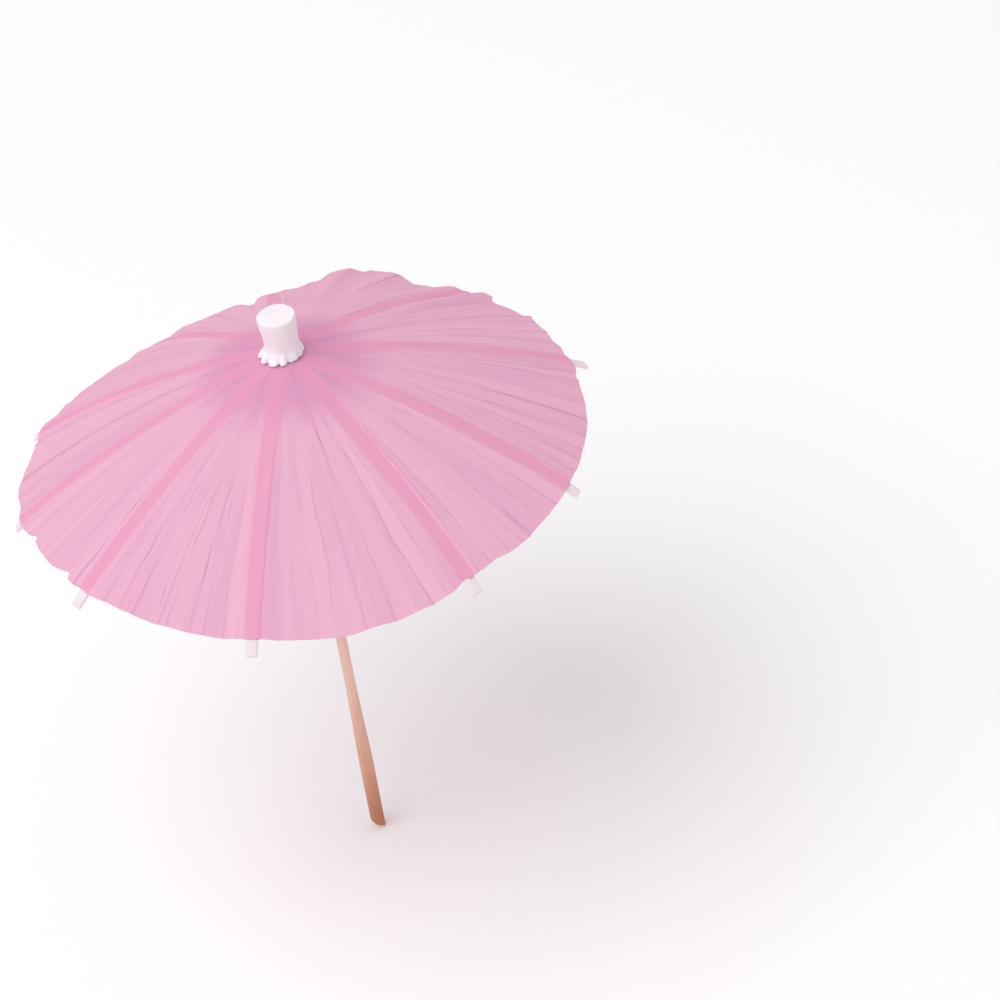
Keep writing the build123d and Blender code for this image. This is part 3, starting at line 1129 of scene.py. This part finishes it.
@dataclass
class Ribs:
    """Card ribs that spring up into a bow under the paper, and the glued strut ends under them.

    Attributes:
        plan: Plan of the canopy.
        length: Distance of a bare tab's end from the rib's fold in millimetres.
        width: Width of a rib.
        thickness: Thickness of its card.
        start: Where the card starts along the rib.
        root_half: Half its width there.
        taper: Where it reaches its full width.
        closed_level: Height over a straight rib's underside that a closed rib is pressed onto.
        closed_share: How much of its bow it keeps when closed.
        trims: How far each tab is cut shorter.
    """

    plan: CanopyPlan
    length: float = 44.34
    width: float = 1.55
    thickness: float = 0.5
    start: float = 0.05
    root_half: float = 0.633
    taper: float = 10.0
    closed_level: float = 0.6
    closed_share: float = 0.14
    trims: tuple[float, ...] = (0.0, 0.05, 0.4, 0.0, 0.5, 0.5, 0.6, 0.8, 0.85, 0.35)

    def build(self) -> list[Piece]:
        """Makes the pattern rib once and a bowed copy of it at each rib."""
        plan = self.plan
        made = []
        pattern = Bench.strip("rib_pattern", self.start, self.length, self.width, (0.0, self.thickness), 66)
        glued = Bench.strip("strut_end_pattern", 17.2, 20.6, 1.06, (-0.17, 0.02), 6)
        Bench.join(pattern, glued)
        along, across, out = (Bench.points(pattern) / MM).T
        narrow = np.interp(along, [self.start, self.taper], [self.root_half / (self.width / 2), 1.0])
        tab = ease(plan.paper_radius - 2, self.length, along)
        for number in plan.numbers:
            luck = np.random.default_rng(Seed.RIB + number)
            piece = Bench.copy(pattern, f"rib_strip_{number:02d}")
            wave = 0.03 * Grain(Seed.RIB_EDGE + number).at(along / 3.0, np.sign(across) + 5)
            side = across * narrow + np.sign(across) * wave * ease(3, 8, along) + luck.uniform(-0.12, 0.12) * tab
            end = along + tab * (across * luck.uniform(-0.16, 0.16) - 0.05 - self.trims[number - 1])
            height = out + plan.rib_rise(number, along) + luck.uniform(-0.25, 0.05) * tab**2
            Bench.shape(piece, plan.on_rib(number, end, side, height))
            Bench.flatten_out(piece, np.stack([along + 60 * number, across + out * 2], 1))
            Bench.smooth(piece, 50)
            Bench.settle(piece, f"rib_{number:02d}", f"rib_{number:02d}", "rib_card")
            anchor = plan.on_rib(number, plan.anchor_along, 0.0, self.closed_level)
            Bench.flatten(piece, plan.axes(number)[3], anchor, self.closed_share)
            made.append(piece)
        Bench.discard(pattern)
        return made


@dataclass
class Struts:
    """Card struts between the runner and the bowed ribs."""

    plan: CanopyPlan
    width: float = 1.12
    thickness: float = 0.36
    under: float = 0.2
    keep: float = 0.3

    def landing(self, number: int) -> tuple[Array, Array]:
        """Where a strut leaves the runner and where it meets its bowed rib."""
        plan = self.plan
        outward, _, _, _ = plan.axes(number)
        foot = outward * plan.crown_radius + UP * plan.runner_height
        along = np.linspace(14.0, 21.0, 400)
        line = plan.on_rib(number, along, 0.0, plan.rib_rise(number, along) - self.under)
        far = np.linalg.norm(line - foot, axis=1)
        meet = np.interp(plan.strut_length, far, along)
        height = plan.rib_rise(number, np.array([meet]))[0] - self.under
        return foot, plan.on_rib(number, meet, 0.0, height)

    def build(self) -> list[Piece]:
        """Makes the pattern strut once and a copy of it at each rib."""
        plan = self.plan
        made = []
        pattern = Bench.strip("strut_pattern", 0.0, 1.0, self.width, (-self.thickness / 2, self.thickness / 2), 30)
        share, across, out = (Bench.points(pattern) / MM).T
        for number in plan.numbers:
            luck = np.random.default_rng(Seed.STRUT + number)
            piece = Bench.copy(pattern, f"strut_strip_{number:02d}")
            foot, top = self.landing(number)
            outward, sideways, _, _ = plan.axes(number)
            run = top - foot
            square = np.cross(run / np.linalg.norm(run), -sideways)
            sag = luck.uniform(-0.35, 0.1) * 4 * share * (1 - share)
            side = across + 0.025 * Grain(Seed.STRUT_EDGE + number).at(share * 7, np.sign(across) + 5)
            points = foot + share[:, None] * run + side[:, None] * sideways + (out + sag)[:, None] * square
            Bench.shape(piece, points)
            Bench.flatten_out(piece, np.stack([share * 20 + 40 * number, across + out * 2], 1))
            Bench.smooth(piece, 50)
            Bench.settle(piece, f"strut_{number:02d}", f"strut_{number:02d}", "strut_card")
            axis = UP * cos(plan.strut_slope) - outward * sin(plan.strut_slope)
            Bench.flatten(piece, axis, foot, self.keep)
            made.append(piece)
        Bench.discard(pattern)
        return made


@dataclass
class Cap:
    """White paper cap: a stopped tube with a gathered, frayed foot.

    Attributes:
        foot: Height of its foot over the stick's tip in millimetres.
        top: Height of its top.
        waist: Radius of the tube over the foot.
        crown: Radius under the top.
        edge: Rounding of the top's edge.
        skirt: Height that the foot spreads over.
        gather: How far the foot spreads between the petals.
        petals: Azimuth and half width in degrees, and reach, of each petal.
        sides: Points round the tube.
    """

    foot: float = 94.16
    top: float = 100.74
    waist: float = 2.5
    crown: float = 2.74
    edge: float = 0.28
    skirt: float = 1.9
    gather: float = 0.3
    petals: tuple[tuple[float, float, float], ...] = (
        *((18.0, 30.0, 3.02), (60.0, 26.0, 3.2), (105.0, 22.0, 3.2), (150.0, 24.0, 3.35), (192.0, 19.0, 3.62)),
        *((221.0, 15.0, 3.6), (252.0, 22.0, 3.42), (281.0, 14.0, 3.3), (312.0, 24.0, 3.05), (345.0, 16.0, 2.98)),
    )
    sides: int = 180

    def spread(self, turn: Array) -> Array:
        """How far the frayed foot reaches out at azimuths in radians."""
        near = self.waist + self.gather
        far = np.full(turn.shape, near)
        for middle, half_width, reach in self.petals:
            far = np.maximum(far, near + (reach - near) * swell(turn, middle, half_width))
        return far

    def build(self) -> list[Piece]:
        """Turns the cap, then gathers its foot into petals, puckers its wall and top, and paints shade low in the gaps
        between the petals.
        """
        foot, top, edge = self.foot, self.top, self.edge
        side = [(self.waist, foot + h) for h in np.linspace(0, self.skirt, 15)]
        rest = top - edge - foot - self.skirt
        for share in (k / 14 for k in range(1, 15)):
            radius = self.waist + (self.crown - self.waist) * float(ease(0.1, 1.0, share))
            side.append((radius, foot + self.skirt + rest * share))
        lip = [(self.crown - edge * (1 - cos(t)), top - edge + edge * sin(t)) for t in np.linspace(0.25, pi / 2, 6)]
        lid = [(lip[-1][0] * s, top + 0.05 * (1 - s)) for s in (0.93, 0.8, 0.6, 0.4, 0.2, 0.0005)]
        under = [(0.93, foot), (1.5, foot), (2.1, foot)]
        piece = Bench.turned("cap_body", [*under, *side, *lip, *lid], self.sides)
        points = Bench.points(piece) / MM
        flat, turn = polar(points)
        level = points[:, 2] - foot
        outside = ease(2.2, 2.45, flat)
        low = outside * (1 - ease(0.0, self.skirt, level)) ** 1.4
        far = self.spread(turn)
        pucker = 0.035 * Grain(Seed.PUCKER, 12, 22).at(level * 0.3, turn / tau * 22)
        pucker = pucker + 0.05 * Grain(Seed.LEAN, 24, 7).at(level * 0.35, turn / tau * 7)
        wobble = pucker * ease(0.6, 2.0, flat)
        scale = 1 + (low * (far - self.waist) + wobble) / np.maximum(flat, 0.5)
        dent = 0.06 * Grain(Seed.DENT, 9, 9).at(points[:, 0] + 4.5, points[:, 1] + 4.5) * ease(6.0, 6.5, level)
        fray = 0.1 * Grain(Seed.FRAY, 6, 70).at(0.5, turn / tau * 70)
        droop = low * (0.32 * (3.1 - far) + fray)
        Bench.shape(piece, np.stack([points[:, 0] * scale, points[:, 1] * scale, points[:, 2] + dent + droop], 1))
        Bench.modify(piece, "SUBSURF", levels=1, render_levels=1)
        points = Bench.points(piece) / MM
        _, turn = polar(points)
        # Painted shade: darker low on the wall in the gaps between the petals.
        gap = 1 - ease(self.waist + self.gather, self.waist + 0.6, self.spread(turn))
        hollow = (1 - ease(0.1, self.skirt + 0.4, points[:, 2] - foot)) * gap
        Bench.carry(piece, hollow=hollow)
        Bench.smooth(piece, 60)
        Bench.settle(piece, "handle", "cap", "cap_paper")
        return [piece]


@dataclass
class Stick:
    """Split wooden pick: a thin shaft that thickens to a foot cut off at a slant."""

    length: float = 99.9
    radius: float = 0.9
    foot_radius: float = 1.175
    foot_length: float = 16.0
    foot_taper: float = 14.0
    slant: float = radians(36.0)
    slant_azimuth: float = radians(15.0)
    sides: int = 36

    def build(self) -> list[Piece]:
        """Turns the stick, splits its faces a little flat and cuts its foot."""
        heights = np.linspace(-0.3, self.length, 120)
        taper = (self.foot_length, self.foot_length + self.foot_taper)
        radii = np.interp(heights, taper, (self.foot_radius, self.radius))
        rings = [(0.0005, heights[0]), *zip(radii.tolist(), heights.tolist()), (0.0005, self.length)]
        piece = Bench.turned("stick_shaft", rings, self.sides)
        points = Bench.points(piece) / MM
        flat, turn = polar(points)
        faces = 0.055 * (np.cos(4 * turn + 0.5 + 0.012 * points[:, 2]) - 1) + 0.02 * (np.cos(7 * turn) - 1)
        splinter = 0.03 * (Grain(Seed.SPLINTER, 60, 18).at(points[:, 2] / 6, turn / tau * 18) - 1)
        scale = 1 + (faces + splinter) * (flat > 0.3) * 0.7
        Bench.shape(piece, np.stack([points[:, 0] * scale, points[:, 1] * scale, points[:, 2]], 1))
        side = np.array((cos(self.slant_azimuth), sin(self.slant_azimuth), 0.0))
        normal = side * sin(self.slant) + UP * cos(self.slant)
        place = tuple(side * self.foot_radius * 0.93 * MM)
        with Bench.editing(piece):
            bpy.ops.mesh.bisect(plane_co=place, plane_no=tuple(normal), use_fill=True, clear_inner=True)
        Bench.modify(piece, "BEVEL", width=0.05 * MM, segments=2, limit_method="ANGLE", angle_limit=radians(40))
        Bench.smooth(piece, 35)
        Bench.settle(piece, "handle", "stick", "stick_wood")
        return [piece]


@dataclass
class Crown:
    """Rolled collar on the stick and the card disc that the ribs fold from."""

    height: float = 93.4
    collar_length: float = 4.0
    collar_radius: float = 1.9
    disc_radius: float = 2.42
    disc_thickness: float = 0.6
    disc_bore: float = 0.92

    def build(self) -> list[Piece]:
        """Rolls the collar and turns the disc."""
        heights = (self.height - self.collar_length, self.height - 0.02)
        collar = Bench.rolled("crown_roll", (0.91, self.collar_radius), heights, 6.5, 70)
        Bench.smooth(collar, 50)
        low, high, bore, rim = self.height, self.height + self.disc_thickness, self.disc_bore, self.disc_radius
        profile = [(bore, low), (1.5, low), (rim - 0.08, low), (rim, low + 0.08), (rim, high - 0.1), (rim - 0.1, high)]
        disc = Bench.turned("crown_plate", [*profile, (1.5, high), (bore, high), (bore, low)], 60)
        Bench.smooth(disc)
        Bench.settle(collar, "handle", "crown_collar", "rolled_paper")
        Bench.settle(disc, "handle", "crown_disc", "rib_card")
        return [collar, disc]


@dataclass
class Runner:
    """Rolled sleeve that slides on the stick, the collar round it with the glued strut tails, and the ring below.

    Attributes:
        plan: Plan of the canopy.
        sleeve: Heights of the sleeve's ends in millimetres.
        collar: Heights of the collar's ends.
        sleeve_radii: Inner and outer radius of the sleeve.
        collar_radii: Inner and outer radius of the collar.
        ring: Heights of the ring's ends.
        ring_radii: Inner and outer radius of the ring.
        ring_edge: Rounding of the ring's outer edges.
        ring_lip: Size of the small edge at its bore.
        tail_width: Width of a glued strut tail.
        tail_length: Usual length of a tail.
    """

    plan: CanopyPlan
    sleeve: tuple[float, float] = (69.71, 79.69)
    collar: tuple[float, float] = (72.21, 79.7)
    sleeve_radii: tuple[float, float] = (0.965, 1.5)
    collar_radii: tuple[float, float] = (1.53, 2.15)
    ring: tuple[float, float] = (68.26, 69.65)
    ring_radii: tuple[float, float] = (0.935, 1.675)
    ring_edge: float = 0.3
    ring_lip: float = 0.06
    tail_width: float = 1.04
    tail_length: float = 4.6

    def tails(self) -> Piece:
        """Makes the pattern tail once and the copies of it that are glued down round the collar."""
        made = []
        fold = self.plan.runner_height
        pattern = Bench.strip("tail_pattern", 0.0, 1.0, self.tail_width, (-0.1, 0.1), 6)
        share, across, out = (Bench.points(pattern) / MM).T
        for number in self.plan.numbers:
            luck = np.random.default_rng(Seed.TAIL + number)
            tail = Bench.copy(pattern, f"tail_{number:02d}")
            down = share * (self.tail_length + luck.uniform(-0.5, 0.4))
            outward, sideways, _, _ = self.plan.axes(number)
            lean = across + 0.05 * luck.uniform(-1, 1) * down
            radius = self.collar_radii[1] + 0.09 + out + 0.06 * ease(0.6, 0.0, down)
            turn = lean / (self.collar_radii[1] + 0.1)
            points = (
                (radius * np.cos(turn))[:, None] * outward
                + (radius * np.sin(turn))[:, None] * sideways
                + (fold + 0.1 - down)[:, None] * UP
            )
            Bench.shape(tail, points)
            made.append(tail)
        Bench.discard(pattern)
        return Bench.join(made[0], *made[1:])

    def build(self) -> list[Piece]:
        """Rolls the sleeve and the collar, and turns the ring."""
        sleeve = Bench.rolled("runner_roll", self.sleeve_radii, self.sleeve, 4.0, 200)
        collar = Bench.rolled("runner_wrap", self.collar_radii, self.collar, 3.0, 310)
        Bench.join(collar, self.tails())
        places = Bench.points(collar) / MM
        _, turn = polar(places)
        Bench.flatten_out(collar, np.stack([turn * 2.2, places[:, 2]], 1))
        low, high = self.ring
        bore, rim = self.ring_radii
        edge, lip = self.ring_edge, self.ring_lip
        round_low = [(rim - edge + edge * sin(t), low + edge - edge * cos(t)) for t in np.linspace(0, pi / 2, 6)]
        round_high = [(rim - edge + edge * cos(t), high - edge + edge * sin(t)) for t in np.linspace(0, pi / 2, 6)]
        outside = [(bore + lip, low), *round_low, *round_high, (bore + lip, high)]
        ring = Bench.turned("grip_ring", [(bore, low + lip), *outside, (bore, high - lip), (bore, low + lip)], 64)
        for piece, body, node, slot in (
            (sleeve, "runner", "runner_sleeve", "rolled_paper"),
            (collar, "runner", "runner_collar", "collar_card"),
            (ring, "ring", "retaining_ring", "ring_plastic"),
        ):
            Bench.smooth(piece, 50)
            Bench.settle(piece, body, node, slot)
        return [sleeve, collar, ring]


@dataclass
class Studio:
    """Pale floor, a soft lamp, light from all round and the camera at the photograph's angle."""

    stand: tuple[float, float, float] = (0.10049, -0.33365, 0.33795)
    look: tuple[float, float, float] = (-0.16678, 0.76503, -0.62202)
    upright: tuple[float, float, float] = (0.01646, 0.63293, 0.77403)
    lens: float = 108.0
    floor_shade: Colour = shade(254, 254, 254)
    floor_drop: float = 0.0002
    soft_light: float = 0.67
    lamp_place: tuple[float, float, float] = (-0.45, -0.5, 1.35)
    lamp_size: float = 1.3
    lamp_power: float = 11.2
    lamp_aim: tuple[float, float, float] = (0.0, 0.0, 0.08)

    def floor(self) -> None:
        """Lays the floor under the pick."""
        Bench.clear()
        bpy.ops.mesh.primitive_plane_add(size=6, location=(0, 0, -self.floor_drop))
        piece = Bench.added("floor")
        tree = FinishTree("floor_paint")
        grain = tree.noise(tree.place("Object"), 40.0)
        shader = tree.surface(self.floor_shade, 0.9, tree.bump(grain, 0.02, 0.0002), Specular_IOR_Level=0.0)
        piece.data.materials.append(tree.finish(shader))

    def lamp(self) -> None:
        """Hangs a square soft lamp that faces the canopy."""
        data = bpy.data.lights.new("key", "AREA")
        data.shape, data.size, data.energy = "SQUARE", self.lamp_size, self.lamp_power
        made = bpy.data.objects.new("key", data)
        made.location = self.lamp_place
        away = Vector(self.lamp_place) - Vector(self.lamp_aim)
        made.rotation_euler = away.to_track_quat("Z", "Y").to_euler()
        bpy.context.scene.collection.objects.link(made)

    def sky(self) -> bpy.types.World:
        """Soft light from all round, seen as plain white."""
        tree = FinishTree("studio", world=True)
        kinds = ("Camera", "Glossy", "Transmission")
        paths = [tree.wire("ShaderNodeLightPath", {}, {}, f"Is {kind} Ray") for kind in kinds]
        seen = tree.maths("MAXIMUM", tree.maths("MAXIMUM", paths[0], paths[1]), paths[2])
        soft, white = (
            tree.wire("ShaderNodeBackground", {}, {"Color": (1.0, 1.0, 1.0, 1.0), "Strength": strength})
            for strength in (self.soft_light, 1.0)
        )
        return tree.finish(tree.node("ShaderNodeMixShader", {}, {0: seen, 1: soft, 2: white}))

    def build(self) -> None:
        """Sets up floor, lamp, world and camera."""
        scene = bpy.context.scene
        scene.view_settings.view_transform = "Standard"
        self.floor()
        self.lamp()
        scene.world = self.sky()
        data = bpy.data.cameras.new("camera")
        data.lens, data.sensor_width = self.lens, 36.0
        data.clip_start, data.clip_end = 0.01, 20.0
        camera = bpy.data.objects.new("camera", data)
        look, upright = Vector(self.look).normalized(), Vector(self.upright).normalized()
        right = look.cross(upright).normalized()
        upright = right.cross(look)
        turn = Matrix((right, upright, -look)).transposed()
        camera.matrix_world = Matrix.Translation(Vector(self.stand)) @ turn.to_4x4()
        scene.collection.objects.link(camera)
        scene.camera = camera


def main() -> None:
    """Builds and dresses every sub-assembly."""
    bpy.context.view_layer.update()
    Bench.finishes.update(
        tissue_paper=TissueFinish().make(),
        stick_wood=WoodFinish().make(),
        rolled_paper=RolledFinish().make(),
        rib_card=CardFinish("rib_card", shade(240, 226, 231), shade(228, 204, 214)).make(),
        strut_card=CardFinish("strut_card", shade(236, 226, 220), shade(216, 204, 196)).make(),
        collar_card=CardFinish("collar_card", shade(232, 224, 214), shade(210, 198, 186)).make(),
        cap_paper=CapFinish().make(),
        ring_plastic=RingFinish().make(),
    )
    plan = CanopyPlan()
    for assembly in (Canopy(plan), Ribs(plan), Struts(plan), Cap(), Stick(), Crown(), Runner(plan)):
        for piece in assembly.build():
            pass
    Studio().build()
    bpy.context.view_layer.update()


if __name__ == "__main__":
    main()
